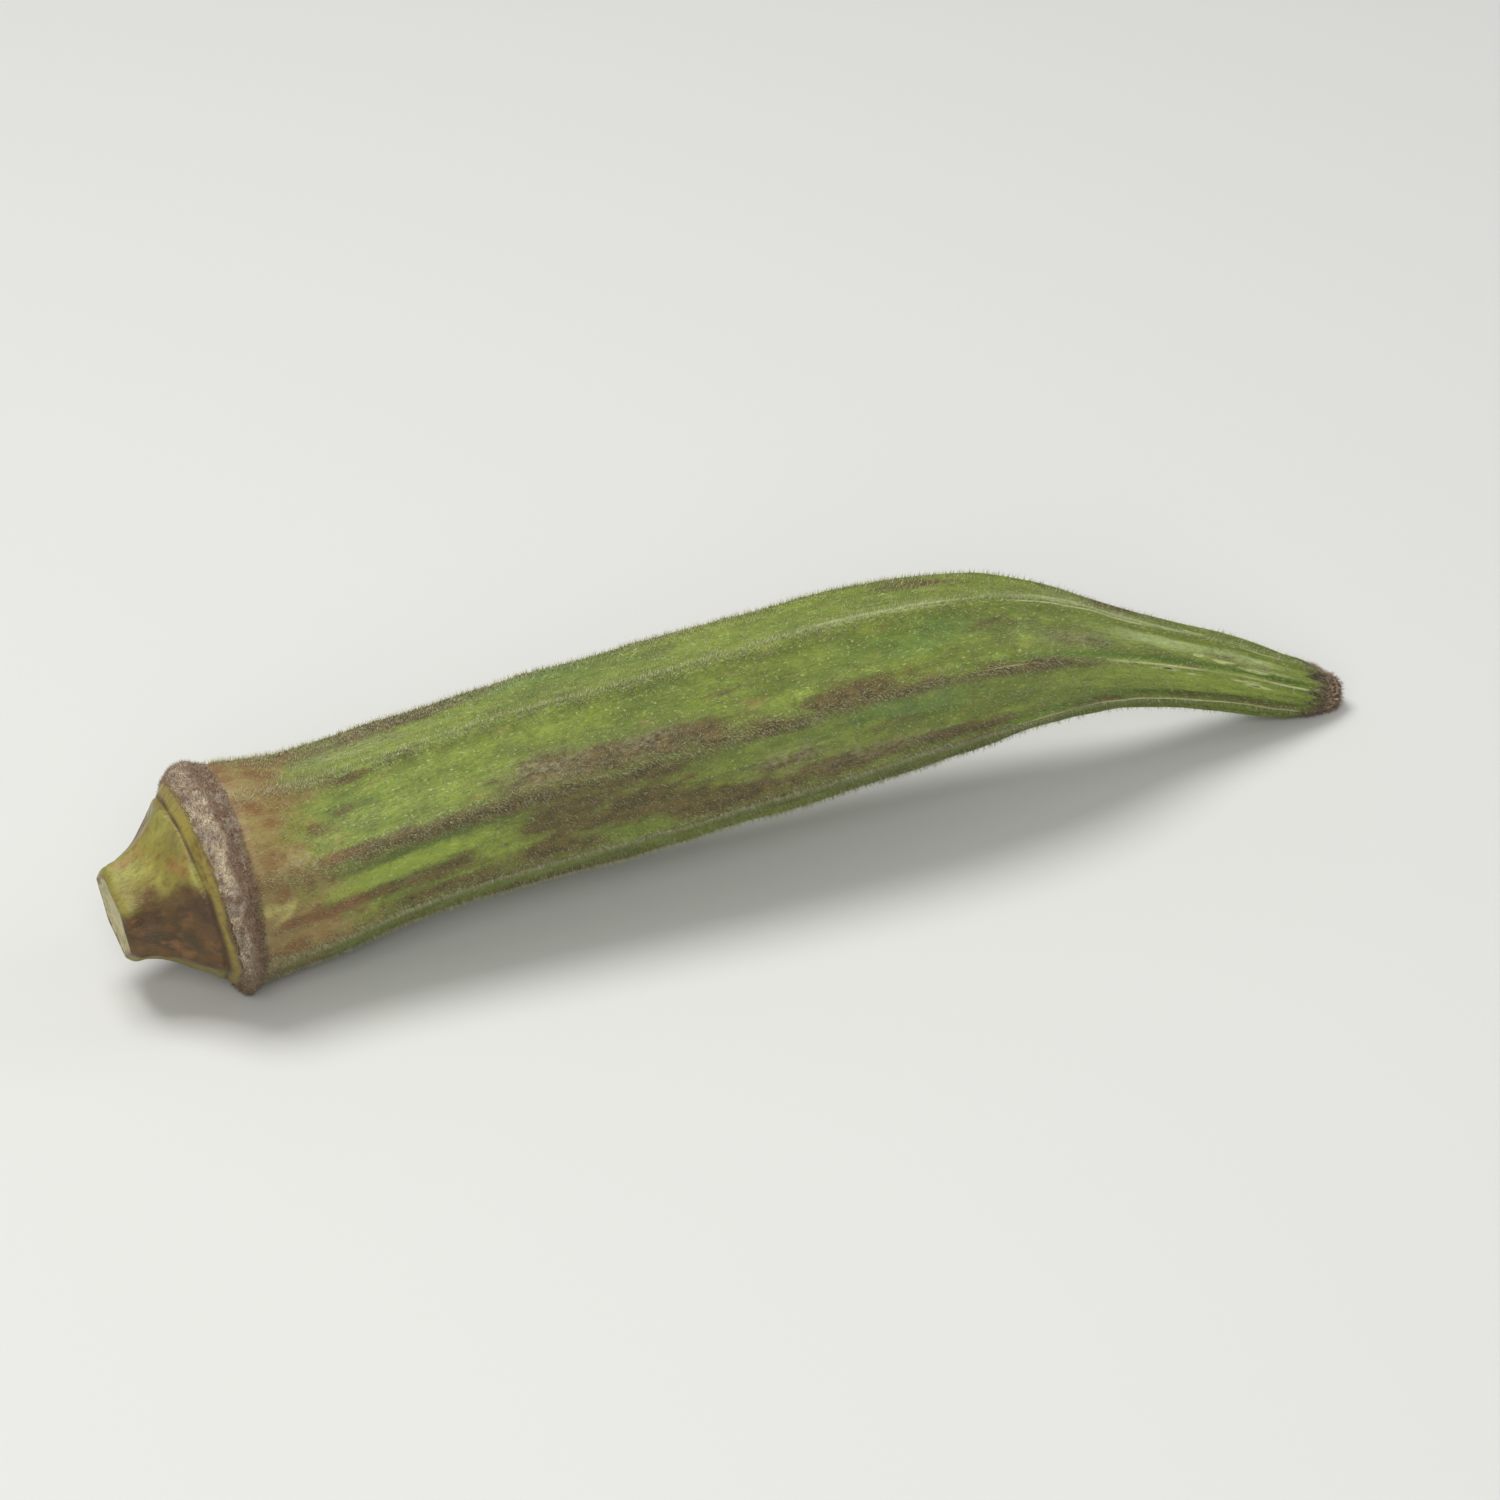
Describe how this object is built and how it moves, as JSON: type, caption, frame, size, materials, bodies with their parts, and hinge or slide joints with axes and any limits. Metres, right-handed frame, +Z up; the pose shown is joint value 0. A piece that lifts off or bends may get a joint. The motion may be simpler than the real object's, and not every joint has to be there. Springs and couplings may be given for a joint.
{
  "type": "okra pod",
  "caption": "Long, ridged, slightly arched okra pod tapering to a thin tip, with a woolly collar, a cone-shaped cap and a cut stalk end, lying on its side.",
  "frame": {"origin": "on the ground, under the middle of the pod's bounding box", "axes": "+Z up, +X along the pod from the cut stalk end to the tip, -Y towards the front"},
  "size_m": [0.1266, 0.021, 0.0238],
  "materials": {
    "okra_skin": "fresh green plant skin, satin, with brown scuffs along the ridges",
    "okra_hairs": "very fine pale plant hairs"
  },
  "bodies": {
    "root": {"okra_pod": "okra_skin"}
  },
  "joints": []
}
